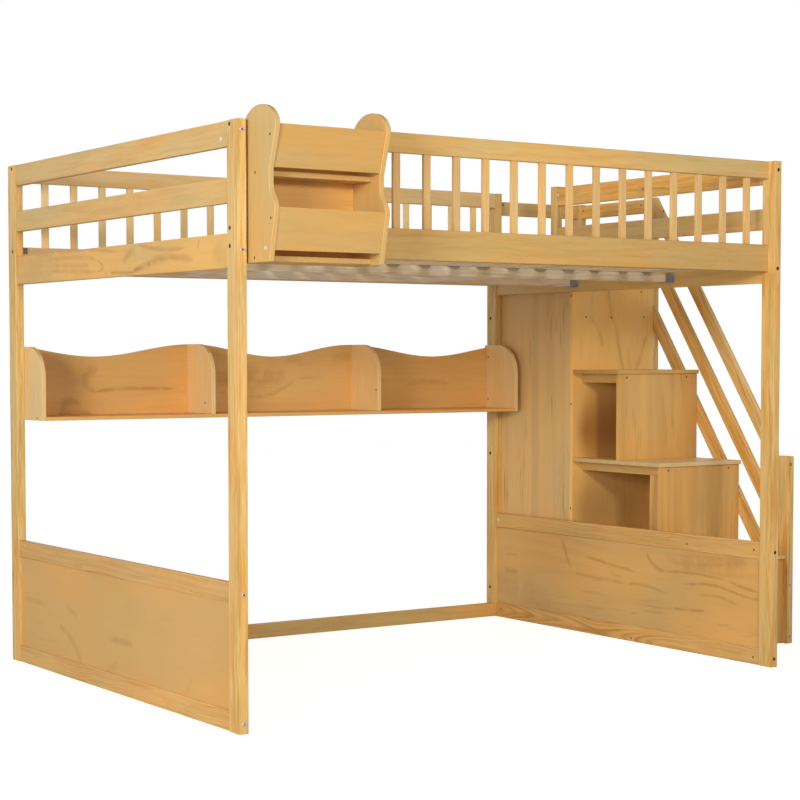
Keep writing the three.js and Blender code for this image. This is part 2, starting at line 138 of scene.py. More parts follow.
def node(tree, kind, inputs=None, **settings):
    made = tree.nodes.new(kind)
    for name, value in settings.items():
        setattr(made, name, value)
    feed(tree, made, inputs or {})
    return made


def maths(tree, operation, *values, clamp=False):
    made = tree.nodes.new("ShaderNodeMath")
    made.operation = operation
    made.use_clamp = clamp
    for index, value in enumerate(values):
        socket(tree, made.inputs[index], value)
    return made.outputs[0]


def times(tree, first, second):
    return maths(tree, "MULTIPLY", first, second)


def total(tree, *values):
    result = values[0]
    for value in values[1:]:
        result = maths(tree, "ADD", result, value)
    return result


def centred(tree, value, amount):
    """A 0 to 1 value turned into a swing about zero."""
    return times(tree, maths(tree, "SUBTRACT", value, 0.5), amount)


def vector_maths(tree, operation, *values):
    made = tree.nodes.new("ShaderNodeVectorMath")
    made.operation = operation
    for index, value in enumerate(values):
        socket(tree, made.inputs[index], value)
    return made.outputs["Value" if operation in ("LENGTH", "DOT_PRODUCT") else "Vector"]


def scaled(tree, vector, amounts):
    return vector_maths(tree, "MULTIPLY", vector, amounts)


def moved(tree, vector, shift):
    return vector_maths(tree, "ADD", vector, shift)


def noise(tree, place, fineness, detail=2.0, roughness=0.5, distortion=0.0, colour=False):
    """Cloudy noise, with its fineness per metre along each axis."""
    inputs = {"Vector": scaled(tree, place, fineness), "Scale": 1.0}
    inputs.update({"Detail": detail, "Roughness": roughness, "Distortion": distortion})
    return node(tree, "ShaderNodeTexNoise", inputs).outputs[1 if colour else 0]


def lot(tree, number):
    """A chance value from 0 to 1 for each whole number."""
    return node(tree, "ShaderNodeTexWhiteNoise", {"W": number}, noise_dimensions="1D").outputs[0]


def wobble(tree, place, fineness, reach, detail=2.0):
    """A push to and fro along each axis."""
    push = noise(tree, place, fineness, detail=detail, colour=True)
    return scaled(tree, vector_maths(tree, "SUBTRACT", push, (0.5, 0.5, 0.5)), reach)


def ramp(tree, value, low, high, to_low=0.0, to_high=1.0, steps="SMOOTHSTEP"):
    inputs = {"Value": value, "From Min": low, "From Max": high, "To Min": to_low, "To Max": to_high}
    return node(tree, "ShaderNodeMapRange", inputs, interpolation_type=steps, clamp=True).outputs[0]


def contours(tree, count, starts, full, ends):
    """A dark line before each whole number of a count: it sets in softly and ends sooner."""
    phase = maths(tree, "FRACT", count)
    return times(tree, ramp(tree, phase, starts, full), ramp(tree, phase, ends, 1.0, 1.0, 0.0))


def mix(tree, factor, first, second, mode="MIX"):
    made = node(tree, "ShaderNodeMix", data_type="RGBA", blend_type=mode, clamp_factor=True)
    socket(tree, made.inputs[0], factor)
    socket(tree, made.inputs[6], first)
    socket(tree, made.inputs[7], second)
    return made.outputs[2]


def tinted(tree, colour, tint):
    """A colour multiplied by another."""
    return mix(tree, 1.0, colour, tint if isinstance(tint, bpy.types.NodeSocket) else (*tint, 1), "MULTIPLY")


def laid_over(tree, colour, mask, strength, top):
    """The top colour over the other, as far as a mask and its strength let it show."""
    return mix(tree, times(tree, mask, strength), colour, top)


def parts(tree, vector):
    split = node(tree, "ShaderNodeSeparateXYZ", {"Vector": vector})
    return split.outputs[0], split.outputs[1], split.outputs[2]


def joined(tree, x, y, z):
    made = tree.nodes.new("ShaderNodeCombineXYZ")
    for index, value in enumerate((x, y, z)):
        socket(tree, made.inputs[index], value)
    return made.outputs[0]


def scaled_colour(tree, colour, amount):
    """The colour, brighter or darker by a number that changes over the surface."""
    return vector_maths(tree, "MULTIPLY", colour, joined(tree, amount, amount, amount))


def new_group(name, inputs, outputs):
    """A node group: each input has a kind or a usual number, each output a kind."""
    group = bpy.data.node_groups.new(name, "ShaderNodeTree")
    for label, given in inputs.items():
        kind = given if isinstance(given, str) else "Float"
        made = group.interface.new_socket(label, in_out="INPUT", socket_type="NodeSocket" + kind)
        if kind == "Float":
            made.default_value = given
    for label, kind in outputs.items():
        group.interface.new_socket(label, in_out="OUTPUT", socket_type="NodeSocket" + kind)
    entry = group.nodes.new("NodeGroupInput")
    leave = group.nodes.new("NodeGroupOutput")
    return group, entry.outputs, leave.inputs


def new_finish(name):
    """A material with its node tree and its shader."""
    finish = bpy.data.materials.new(name)
    finish.use_nodes = True
    return finish, finish.node_tree, finish.node_tree.nodes["Principled BSDF"]


def stand(name, data):
    """Puts a mesh, lamp or camera in the scene."""
    made = bpy.data.objects.new(name, data)
    bpy.context.scene.collection.objects.link(made)
    return made


# Wood figure

WOOD_INPUTS = {"Grain": "Vector", "Board": "Vector", "Pale": "Color", "Deep": "Color"}
WOOD_OUTPUTS = {"Color": "Color", "Roughness": "Float", "Height": "Float"}
# Usual values, which a finish may set otherwise
SAWN_USUAL = {"Ring Width": 0.014, "Rings": 0.3, "Streaks": 0.3, "Knots": 0.0}
SAWN_USUAL.update({"Mottle": 0.2, "Drift": 0.6, "Tone": 0.05})
PEELED_USUAL = {"Flames": 0.15, "Flame Count": 14.0, "Flame Scale": 1.0, "Planks": 0.0, "Bands": 0.1, "Flecks": 0.3}
PEELED_USUAL.update({"Mottle": 0.3, "Drift": 0.9, "Tone": 0.06})


def place_in_log(tree, source, aside, along):
    """Where a point lies in endless wood: each board is cut from a spot of its own."""
    seed, _, _ = parts(tree, source["Board"])
    place = moved(tree, source["Grain"], scaled(tree, source["Board"], (*aside, 0.0)))
    return moved(tree, place, joined(tree, 0.0, 0.0, times(tree, seed, along)))


def drifting_pale(tree, source, place, fineness, cool, warm):
    """The pale wood colour, drifting slowly between a cooler and a warmer tint."""
    blush = ramp(tree, noise(tree, place, fineness), 0.36, 0.64)
    tint = mix(tree, blush, (*cool, 1), (*warm, 1))
    return mix(tree, source["Drift"], source["Pale"], tinted(tree, source["Pale"], tint))


# Cream, olive and amber streaks: the shift of their noise, its fineness, where they set in and are full, their tint
STREAKS = (
    ((8.3, 6.1, 2.9), (65.0, 65.0, 3.2), 0.49, 0.66, (1.06, 1.16, 1.5)),
    ((3.7, 1.9, 5.3), (50.0, 50.0, 3.0), 0.49, 0.64, (0.77, 0.79, 0.62)),
    ((0.0, 0.0, 0.0), (75.0, 75.0, 3.6), 0.48, 0.64, (0.92, 0.7, 0.42)),
)
KNOT_BROWN = (0.3, 0.13, 0.04, 1)


def sawn_pine_group():
    """Solid pine cut from a log: growth rings about a pith beside the board, streaks, fibres and knots."""
    tree, source, result = new_group("sawn_pine", {**WOOD_INPUTS, **SAWN_USUAL}, WOOD_OUTPUTS)
    grain = source["Grain"]
    seed_a, seed_b, cut = parts(tree, source["Board"])
    place = place_in_log(tree, source, (13.1, 7.7), 37.0)
    _, _, length = parts(tree, grain)

    # Knots run straight through the board's thickness
    px, _, pz = parts(tree, place)
    face_place = joined(tree, times(tree, px, 4.2), times(tree, pz, 2.3), 0.0)
    spots = node(tree, "ShaderNodeTexVoronoi", {"Vector": face_place, "Scale": 1.0}, voronoi_dimensions="2D")
    chosen, knot_size, _ = parts(tree, spots.outputs["Color"])
    has_knot = maths(tree, "LESS_THAN", chosen, source["Knots"])
    away = maths(tree, "DIVIDE", spots.outputs["Distance"], ramp(tree, knot_size, 0.0, 1.0, 0.5, 1.3))
    knot = times(tree, ramp(tree, away, 0.008, 0.034, 1.0, 0.0), has_knot)
    halo = times(tree, ramp(tree, away, 0.02, 0.13, 1.0, 0.0), has_knot)

    # Growth rings: distance from a wandering pith
    wander = wobble(tree, place, (2.5, 2.5, 1.3), (0.06, 0.06, 0.0))
    side = centred(tree, seed_a, 0.13)
    depth = ramp(tree, seed_b, 0.0, 1.0, 0.012, 0.075, "LINEAR")
    rise = times(tree, length, centred(tree, seed_b, 0.03))
    pith = joined(tree, side, total(tree, depth, rise), 0.0)
    from_pith = vector_maths(tree, "SUBTRACT", moved(tree, grain, wander), pith)
    from_pith = vector_maths(tree, "LENGTH", scaled(tree, from_pith, (1.0, 1.0, 0.0)))
    ruffle = times(tree, noise(tree, place, (60.0, 60.0, 7.0)), 0.003)
    rings = maths(tree, "DIVIDE", total(tree, from_pith, ruffle), source["Ring Width"])
    rings = total(tree, rings, times(tree, halo, 1.6))
    year = lot(tree, total(tree, maths(tree, "FLOOR", rings), times(tree, seed_a, 91.0)))
    late = contours(tree, rings, 0.25, 0.86, 0.88)
    late = times(tree, late, ramp(tree, year, 0.0, 1.0, 0.1, 1.0, "LINEAR"))
    clear = ramp(tree, noise(tree, place, (7.0, 7.0, 1.2), detail=1.0), 0.36, 0.6, 0.15, 1.0)
    late = times(tree, late, clear)

    # Streaks along fibres that run slightly askew in places
    swirl = moved(tree, place, wobble(tree, place, (5.0, 5.0, 4.0), (0.035, 0.035, 0.0)))
    fibre = noise(tree, place, (700.0, 700.0, 16.0), roughness=0.6)
    cloud = noise(tree, place, (9.0, 9.0, 2.2), detail=3.0, roughness=0.55)
    colour = drifting_pale(tree, source, place, (6.0, 6.0, 2.3), (0.92, 0.99, 1.04), (1.05, 0.96, 0.78))
    for aside, fineness, sets_in, full, tint in STREAKS:
        streak = noise(tree, moved(tree, swirl, aside), fineness, detail=3.0, roughness=0.6)
        streak = ramp(tree, streak, sets_in, full)
        colour = laid_over(tree, colour, streak, source["Streaks"], tinted(tree, colour, tint))
    colour = laid_over(tree, colour, late, source["Rings"], source["Deep"])
    light = total(
        tree,
        1.0,
        centred(tree, cloud, source["Mottle"]),
        centred(tree, seed_b, source["Tone"]),
        centred(tree, fibre, 0.16),
        times(tree, cut, -0.16),
    )
    colour = scaled_colour(tree, colour, light)
    colour = laid_over(tree, colour, halo, 0.3, source["Deep"])
    tree.links.new(laid_over(tree, colour, knot, 0.75, KNOT_BROWN), result["Color"])

    gloss = maths(tree, "MULTIPLY_ADD", fibre, 0.12, 0.38)
    tree.links.new(total(tree, gloss, times(tree, cut, 0.2)), result["Roughness"])
    relief = total(tree, times(tree, late, -0.5), times(tree, fibre, 0.5))
    tree.links.new(total(tree, relief, times(tree, knot, -0.4)), result["Height"])
    return tree


def peeled_pine_group():
    """Veneer peeled off a log, on plywood: faint contour lines, soft bands, resin flecks, and layers on cut edges."""
    tree, source, result = new_group("peeled_pine", {**WOOD_INPUTS, **PEELED_USUAL}, WOOD_OUTPUTS)
    _, seed_b, cut = parts(tree, source["Board"])
    across, depth, _ = parts(tree, source["Grain"])
    place = place_in_log(tree, source, (11.3, 5.9), 23.0)

    # Thin contour lines of a slow, stretched field, clear in some places only
    flame_place = scaled_colour(tree, place, source["Flame Scale"])
    field = noise(tree, flame_place, (2.6, 2.6, 0.45), detail=1.5, roughness=0.4, distortion=0.3)
    ruffle = noise(tree, place, (46.0, 46.0, 4.0))
    lines = total(tree, times(tree, field, source["Flame Count"]), times(tree, ruffle, 0.45))
    flame = contours(tree, lines, 0.2, 0.82, 0.84)
    clear = ramp(tree, noise(tree, place, (3.4, 3.4, 1.4), detail=1.0), 0.38, 0.62)
    flame = times(tree, flame, clear)

    # Narrow planks of slightly different tone
    plank = maths(tree, "FLOOR", times(tree, total(tree, across, 5.0), 21.0))
    plank_tone = lot(tree, total(tree, plank, times(tree, seed_b, 57.0)))

    fleck = ramp(tree, noise(tree, place, (110.0, 110.0, 6.0)), 0.56, 0.67)
    patch = ramp(tree, noise(tree, place, (10.0, 10.0, 3.0)), 0.46, 0.66)
    fleck = times(tree, fleck, patch)
    fibre = noise(tree, place, (600.0, 600.0, 14.0), roughness=0.6)
    band = noise(tree, place, (30.0, 30.0, 0.8), detail=3.0)
    cloud = noise(tree, place, (4.2, 4.2, 1.9), detail=3.0)

    colour = drifting_pale(tree, source, place, (3.3, 3.3, 1.9), (0.93, 0.985, 1.03), (1.045, 0.965, 0.8))
    colour = laid_over(tree, colour, flame, source["Flames"], source["Deep"])
    colour = laid_over(tree, colour, fleck, source["Flecks"], source["Deep"])
    light = total(
        tree,
        1.0,
        centred(tree, cloud, source["Mottle"]),
        centred(tree, band, source["Bands"]),
        centred(tree, seed_b, source["Tone"]),
        centred(tree, fibre, 0.12),
        centred(tree, plank_tone, source["Planks"]),
    )
    colour = scaled_colour(tree, colour, light)

    # Cut edges show the layers
    layer = ramp(tree, maths(tree, "FRACT", times(tree, depth, 310.0)), 0.42, 0.56)
    edge = maths(tree, "MULTIPLY_ADD", layer, 0.4, 0.12)
    tree.links.new(laid_over(tree, colour, cut, edge, source["Deep"]), result["Color"])

    tree.links.new(maths(tree, "MULTIPLY_ADD", fibre, 0.12, 0.42), result["Roughness"])
    relief = total(tree, times(tree, flame, -0.4), times(tree, fibre, 0.5))
    tree.links.new(relief, result["Height"])
    return tree


def dark_band_group():
    """One soft dark band from a start over a middle to an end, tapering at both: when narrow, a line of the wood's
    own figure; from the shade width up, painted shade.
    """
    inputs = {**dict.fromkeys(("Place", "Start", "Span", "Bend"), "Vector"), "Width": 0.006}
    tree, source, result = new_group("dark_band", inputs, {"Mask": "Float"})
    reach = vector_maths(tree, "SUBTRACT", source["Place"], source["Start"])
    length = vector_maths(tree, "DOT_PRODUCT", source["Span"], source["Span"])
    along = maths(tree, "DIVIDE", vector_maths(tree, "DOT_PRODUCT", reach, source["Span"]), length, clamp=True)
    bow = times(tree, times(tree, along, maths(tree, "SUBTRACT", 1.0, along)), 4.0)
    span = scaled_colour(tree, source["Span"], along)
    line = moved(tree, span, scaled_colour(tree, source["Bend"], bow))
    away = vector_maths(tree, "LENGTH", vector_maths(tree, "SUBTRACT", reach, line))
    width = times(tree, source["Width"], ramp(tree, bow, 0.0, 0.6, 0.35, 1.0))
    near = ramp(tree, maths(tree, "DIVIDE", away, width), 0.0, 1.0, 1.0, 0.0)
    tree.links.new(times(tree, near, ramp(tree, bow, 0.0, 0.35)), result["Mask"])
    return tree


def dark_bands(tree, plane, lines):
    """The darkest of a board's own lines, and wide bands of painted shade: each is start, middle, end (millimetres in
    the plane), width, strength.
    """
    place = node(tree, "ShaderNodeTexCoord").outputs["Object"]
    waver = wobble(tree, place, (4.0, 4.0, 8.0), (0.03, 0.03, 0.022), detail=3.0)
    flat = tuple(1.0 if axis in plane else 0.0 for axis in "xyz")
    place = scaled(tree, moved(tree, place, waver), flat)
    patchy = ramp(tree, noise(tree, place, (22.0, 22.0, 22.0), detail=3.0), 0.34, 0.56, 0.45, 1.0)
    mask = None
    for start, middle, end, width, strength in lines:
        first, between, last = (in_plane(plane, point) for point in (start, middle, end))
        span = last - first
        bend = between - (first + last) / 2
        bend -= span * (bend.dot(span) / span.dot(span))
        inputs = {"Place": place, "Start": first, "Span": span, "Bend": bend, "Width": width * MM}
        line = node(tree, "ShaderNodeGroup", inputs, node_tree=DARK_BAND)
        dark = times(tree, line.outputs["Mask"], strength)
        if width < SHADE_WIDTH:
            dark = times(tree, dark, patchy)
        mask = dark if mask is None else maths(tree, "MAXIMUM", mask, dark)
    return mask


def in_plane(plane, point):
    """A point given by two of the model's millimetres, flat in the plane of those two axes."""
    flat = {"x": ORIGIN_X, "y": ORIGIN_Y, "z": 0.0, **dict(zip(plane, point))}
    return at(**flat)


def slat_shade_group():
    """Soft shade under each slat, down the face of the beam that carries it, and darkest close under the slat."""
    tree, source, result = new_group("slat_shade", {"Place": "Vector"}, {"Mask": "Float"})
    x, _, z = parts(tree, source["Place"])
    waver = noise(tree, source["Place"], (14.0, 0.0, 30.0))
    steps = maths(tree, "DIVIDE", maths(tree, "SUBTRACT", x, at(FIRST_SLAT_MIDDLE, 0, 0).x), SLAT_PITCH * MM)
    steps = total(tree, steps, centred(tree, waver, 0.35))
    away = maths(tree, "ABSOLUTE", maths(tree, "SUBTRACT", maths(tree, "FRACT", total(tree, steps, 0.5)), 0.5))
    soft = times(tree, ramp(tree, away, 0.06, 0.36, 1.0, 0.0), 0.45)
    drop = maths(tree, "SUBTRACT", SLAT_BOTTOM * MM, z)
    inside = maths(tree, "SUBTRACT", maths(tree, "SUBTRACT", 0.26, times(tree, drop, 9.0)), away)
    close = times(tree, ramp(tree, inside, 0.0, 0.07), ramp(tree, drop, 0.006, 0.019, 0.9, 0.0))
    tree.links.new(maths(tree, "MAXIMUM", soft, close), result["Mask"])
    return tree


SAWN_PINE = sawn_pine_group()
PEELED_PINE = peeled_pine_group()
DARK_BAND = dark_band_group()
SLAT_SHADE = slat_shade_group()

LINE_TINT = (0.64, 0.5, 0.34)
# The wardrobe front's tint darkens both its grain lines and the painted shade inside the cubbies
LINE_AND_CUBBY_SHADE_TINT = (0.53, 0.40, 0.34)
# Tint of the painted shade that the slats throw down the front beam
SLAT_SHADE_PAINT_TINT = (0.42, 0.40, 0.30)
SHADE_WIDTH = 200.0  # lines this wide are soft shade, and stay unbroken
WOOD_RELIEF = 0.25
WOOD_RELIEF_DEPTH = 0.0006
LACQUER_SHEEN = 0.4


def wood(name, group, pale, deep, plane="", lines=(), line_tint=LINE_TINT, painted_slat_shade=False, **values):
    """A lacquered wood finish from one of the two figures, with a board's own dark lines and any painted shade laid
    over it.
    """
    finish, tree, shader = new_finish(name)
    figure = node(tree, "ShaderNodeGroup", node_tree=group)
    for label in ("grain", "board"):
        mark = node(tree, "ShaderNodeAttribute", attribute_name=label)
        tree.links.new(mark.outputs["Vector"], figure.inputs[label.title()])
    feed(tree, figure, {"Pale": (*pale, 1), "Deep": (*deep, 1)})
    feed(tree, figure, {label.replace("_", " ").title(): amount for label, amount in values.items()})
    colour = figure.outputs["Color"]
    if lines:
        colour = mix(tree, dark_bands(tree, plane, lines), colour, tinted(tree, colour, line_tint))
    # Painted shade of the slats, in bands down the beam's face
    if painted_slat_shade:
        place = node(tree, "ShaderNodeTexCoord").outputs["Object"]
        shade = node(tree, "ShaderNodeGroup", {"Place": place}, node_tree=SLAT_SHADE)
        colour = mix(tree, shade.outputs["Mask"], colour, tinted(tree, colour, SLAT_SHADE_PAINT_TINT))
    relief = {"Strength": WOOD_RELIEF, "Distance": WOOD_RELIEF_DEPTH, "Height": figure.outputs["Height"]}
    bump = node(tree, "ShaderNodeBump", relief)
    feed(tree, shader, {"Base Color": colour, "Roughness": figure.outputs["Roughness"]})
    feed(tree, shader, {"Normal": bump.outputs[0], "Specular IOR Level": LACQUER_SHEEN})
    return finish


# Dark lines that stand out on single boards, and two wide bands of painted shade on the wardrobe front: start,
# middle, end, width and strength, in the model's millimetres

LEFT_BOARD_LINES = (
    ((1640, 1306), (1400, 1301), (1160, 1296), 110, 0.3),
    ((1467, 1275), (1376, 1275), (1253, 1274), 33, 0.35),
    ((1166, 1325), (968, 1328), (721, 1315), 9, 0.51),
    ((1295, 1309), (1099, 1312), (866, 1297), 15, 0.46),
    ((874, 1300), (831, 1280), (882, 1262), 18, 0.55),
    ((866, 1262), (1001, 1265), (1227, 1277), 13, 0.46),
    ((1200, 1295), (1141, 1287), (921, 1282), 15, 0.35),
    ((692, 1278), (665, 1303), (611, 1315), 22, 0.55),
    ((610, 1331), (561, 1316), (301, 1308), 11, 0.51),
    ((630, 1253), (572, 1264), (505, 1273), 15, 0.85),
    ((540, 1270), (408, 1282), (249, 1271), 18, 0.51),
    ((782, 1254), (692, 1251), (612, 1249), 9, 0.7),
    ((223, 1328), (228, 1314), (233, 1296), 8, 0.51),
    ((140, 1300), (98, 1265), (56, 1230), 50, 0.25),
)
LEFT_PANEL_LINES = (
    ((1460, 213), (1380, 211), (1280, 209), 14, 0.35),
    ((1126, 226), (1085, 208), (1040, 200), 16, 0.3),
    ((1190, 156), (1085, 118), (1008, 40), 18, 0.35),
    ((830, 160), (744, 158), (650, 162), 18, 0.4),
    ((838, 56), (800, 76), (755, 94), 18, 0.25),
    ((333, 56), (305, 82), (285, 104), 15, 0.25),
)
RIGHT_PANEL_LINES = (
    ((1090, 336), (1063, 283), (1032, 224), 13, 0.54),
    ((959, 278), (832, 265), (676, 246), 10, 0.5),
    ((1019, 208), (865, 208), (724, 200), 10, 0.4),
    ((815, 239), (782, 225), (741, 227), 9, 0.29),
    ((724, 201), (620, 205), (495, 185), 9, 0.43),
    ((621, 328), (578, 284), (519, 265), 11, 0.61),
    ((527, 266), (398, 266), (215, 258), 8, 0.58),
    ((215, 260), (144, 246), (71, 241), 9, 0.58),
    ((412, 229), (258, 234), (144, 219), 8, 0.65),
    ((165, 224), (116, 215), (67, 215), 8, 0.5),
    ((367, 193), (257, 202), (157, 185), 8, 0.4),
    ((491, 143), (396, 143), (308, 147), 8, 0.61),
    ((520, 337), (473, 302), (398, 293), 22, 0.25),
    ((460, 290), (310, 312), (110, 318), 75, 0.4),
    ((1440, 192), (1411, 183), (1354, 184), 16, 0.5),
    ((1440, 247), (1402, 249), (1354, 251), 8, 0.29),
    ((699, 94), (675, 100), (651, 100), 8, 0.36),
    ((256, 106), (227, 108), (199, 113), 7, 0.36),
    ((1330, 140), (1251, 100), (1150, 60), 90, 0.22),
    ((1510, 136), (1440, 128), (1340, 120), 70, 0.25),
)
WARDROBE_FRONT_LINES_AND_CUBBY_SHADE = (
    ((2160, 1262), (2170, 1195), (2180, 1130), 13, 0.32),
    ((2175, 1170), (2204, 1065), (2240, 945), 13, 0.42),
    ((2054, 1158), (2104, 1112), (2130, 1038), 15, 0.29),
    ((2355, 1092), (2324, 1022), (2296, 945), 14, 0.36),
    ((2255, 1046), (2262, 1000), (2274, 945), 13, 0.2),
    # The two widest bands are painted shade inside the cubbies under the treads, not grain
    ((1990, 735), (2345, 735), (2700, 735), 235, 1.0),
    ((1990, 445), (2345, 445), (2700, 445), 235, 0.6),
)
SHELF_BACK_LINES = (
    ((290, 887), (400, 896), (610, 898), 12, 0.6),
    ((297, 975), (262, 930), (302, 880), 32, 0.45),
    ((176, 804), (192, 850), (250, 846), 28, 0.45),
    ((158, 812), (220, 815), (290, 813), 14, 0.5),
    ((880, 866), (1000, 872), (1084, 925), 14, 0.4),
    ((1040, 980), (1080, 1000), (1128, 970), 22, 0.2),
    ((1100, 928), (1150, 931), (1200, 931), 10, 0.3),
    ((1240, 988), (1285, 1002), (1326, 1000), 28, 0.35),
    ((235, 988), (282, 972), (310, 955), 44, 0.35),
    ((1560, 900), (1660, 912), (1780, 905), 16, 0.3),
    ((60, 930), (150, 950), (270, 920), 90, 0.25),
    ((640, 935), (840, 925), (1060, 945), 85, 0.45),
)

POST_PINE = wood(
    "honey_pine_posts", SAWN_PINE, (0.765, 0.485, 0.165), (0.56, 0.29, 0.08),
    ring_width=0.0055, streaks=0.85, mottle=0.22, knots=0.05,
)
RAIL_PINE = wood(
    "honey_pine_rails", SAWN_PINE, (0.71, 0.45, 0.16), (0.50, 0.27, 0.08),
    ring_width=0.012, rings=0.14, streaks=0.35, mottle=0.22, drift=0.9, knots=0.03, tone=0.08,
)
PANEL_RAIL_PINE = wood(
    "figured_pine_panel_rails", SAWN_PINE, (0.72, 0.42, 0.135), (0.44, 0.19, 0.045),
    ring_width=0.005, rings=0.9, streaks=0.4, mottle=0.3, drift=0.5, knots=0.04, tone=0.08,
)
BACK_BOARD_PINE = wood(
    "pale_pine_back_board", SAWN_PINE, (0.77, 0.52, 0.235), (0.52, 0.30, 0.11),
    rings=0.1, knots=0.02,
)
# Lower treads: a paler copy of the board pine, as painted light on their tops
TREAD_PINE_PAINTED_LIGHT = wood(
    "pale_pine_treads", SAWN_PINE, (0.80, 0.55, 0.235), (0.52, 0.30, 0.11),
    rings=0.12, knots=0.02,
)
FRONT_BAR_PINE = wood(
    "blush_pine_front_balusters", SAWN_PINE, (0.77, 0.47, 0.18), (0.56, 0.29, 0.09),
    ring_width=0.012, rings=0.12, streaks=0.25, drift=0.4, tone=0.1,
)
# Back balusters: paler than the back rail, as painted light against the shade that falls on them
BACK_BAR_PINE_PAINTED_LIGHT = wood(
    "back_balusters_painted_light", SAWN_PINE, (0.98, 0.69, 0.33), (0.6, 0.36, 0.14),
    rings=0.1, knots=0.02,
)
BOARD_PINE = wood(
    "honey_pine_boards", SAWN_PINE, (0.655, 0.38, 0.115), (0.48, 0.24, 0.065),
    ring_width=0.016, rings=0.16, mottle=0.22, drift=0.8, knots=0.02, tone=0.06,
)
# Bookcase sides: a paler copy of the bookcase pine, as painted light on faces that look left
BOOKCASE_SIDE_PINE_PAINTED_LIGHT = wood(
    "pine_bookcase_sides_painted_lighter", SAWN_PINE, (0.65, 0.41, 0.148), (0.50, 0.27, 0.09),
    ring_width=0.016, rings=0.04, streaks=0.15, mottle=0.14, drift=0.7, tone=0.04,
)
BOOKCASE_PINE = wood(
    "plain_pine_bookcase", SAWN_PINE, (0.63, 0.37, 0.118), (0.50, 0.25, 0.07),
    ring_width=0.016, rings=0.04, streaks=0.12, mottle=0.12, drift=0.7, tone=0.04,
)
LEFT_BOARD_PINE = wood(
    "figured_pine_left_board", PEELED_PINE, (0.75, 0.45, 0.14), (0.47, 0.25, 0.06),
    plane="yz", lines=LEFT_BOARD_LINES,
    flame_count=7.0, flame_scale=3.0, flecks=0.1, bands=0.2, drift=1.0,
)
RIGHT_END_PINE = wood(
    "amber_pine_right_end", SAWN_PINE, (0.89, 0.52, 0.14), (0.5, 0.22, 0.05),
    ring_width=0.008, streaks=0.8, mottle=0.3, drift=0.8, knots=0.05,
)
HANDRAIL_PINE = wood(
    "amber_pine_handrails", SAWN_PINE, (0.75, 0.455, 0.155), (0.46, 0.21, 0.05),
    ring_width=0.008, streaks=1.0, mottle=0.3, drift=0.8, knots=0.05, tone=0.1,
)
SHELF_PINE = wood(
    "amber_pine_shelf", SAWN_PINE, (0.775, 0.435, 0.137), (0.47, 0.22, 0.06),
    plane="xz", lines=SHELF_BACK_LINES,
    ring_width=0.02, rings=0.04, streaks=0.12, mottle=0.3, drift=0.5,
)
UPRIGHT_PINE = wood(
    "pale_pine_shelf_uprights", SAWN_PINE, (0.81, 0.535, 0.235), (0.55, 0.3, 0.1),
    ring_width=0.02, rings=0.03, streaks=0.12, mottle=0.15, drift=0.5, tone=0.03,
)
LEFT_PANEL_PLY = wood(
    "figured_ply_left_panel", PEELED_PINE, (0.73, 0.415, 0.132), (0.46, 0.24, 0.075),
    plane="yz", lines=LEFT_PANEL_LINES,
    flames=0.0, flecks=0.12, bands=0.06, mottle=0.2, drift=0.8,
)
RIGHT_PANEL_PLY = wood(
    "figured_ply_right_panel", PEELED_PINE, (0.675, 0.40, 0.137), (0.44, 0.22, 0.07),
    plane="yz", lines=RIGHT_PANEL_LINES,
    flame_count=16.0, bands=0.14, mottle=0.42, drift=1.0,
)
RISER_PLY = wood(
    "figured_ply_risers", PEELED_PINE, (0.75, 0.43, 0.132), (0.48, 0.24, 0.065),
    flames=0.35, flame_count=11.0, flecks=0.5, bands=0.4, mottle=0.36,
)
# Grain lines, and painted shade inside the cubbies under the treads
FRONT_PLY = wood(
    "figured_ply_wardrobe_front_painted_cubby_shade", PEELED_PINE, (0.95, 0.57, 0.178), (0.48, 0.24, 0.065),
    plane="xz", lines=WARDROBE_FRONT_LINES_AND_CUBBY_SHADE, line_tint=LINE_AND_CUBBY_SHADE_TINT,
    flames=0.1, flame_count=9.0, flecks=0.15,
)
SIDE_PLY = wood(
    "planked_ply_wardrobe", PEELED_PINE, (0.74, 0.46, 0.175), (0.44, 0.22, 0.075),
    flames=0.0, planks=0.1, flecks=0.75, bands=0.3, mottle=0.25, drift=0.5,
)
SLAT_WOOD = wood(
    "bare_slat_wood", SAWN_PINE, (0.92, 0.78, 0.55), (0.5, 0.38, 0.24),
    ring_width=0.009, streaks=0.5, mottle=0.4, drift=0.4, knots=0.1, tone=0.2,
)
# Slat sides: the slat wood darker, as painted shade in the gaps between slats
SLAT_SIDE_SHADE = wood(
    "slat_sides_painted_shade", SAWN_PINE, (0.8, 0.64, 0.40), (0.4, 0.3, 0.17),
    ring_width=0.009, streaks=0.5, mottle=0.4, drift=0.4, tone=0.2,
)
BEAM_WOOD = wood(
    "bare_beam_wood", SAWN_PINE, (0.93, 0.76, 0.57), (0.5, 0.38, 0.26),
    ring_width=0.006, rings=0.4, streaks=0.7, mottle=0.5, drift=0.4, knots=0.2, tone=0.1,
)
# The front beam: paler than the back one as painted light through the gaps between slats, with the slats' painted
# shade over it
SHADED_BEAM_WOOD = wood(
    "bare_beam_wood_painted_slat_light_and_shade", SAWN_PINE, (1.0, 0.83, 0.60), (0.5, 0.38, 0.26),
    ring_width=0.006, rings=0.4, streaks=0.6, mottle=0.5, drift=0.4, knots=0.2, tone=0.1, painted_slat_shade=True,
)


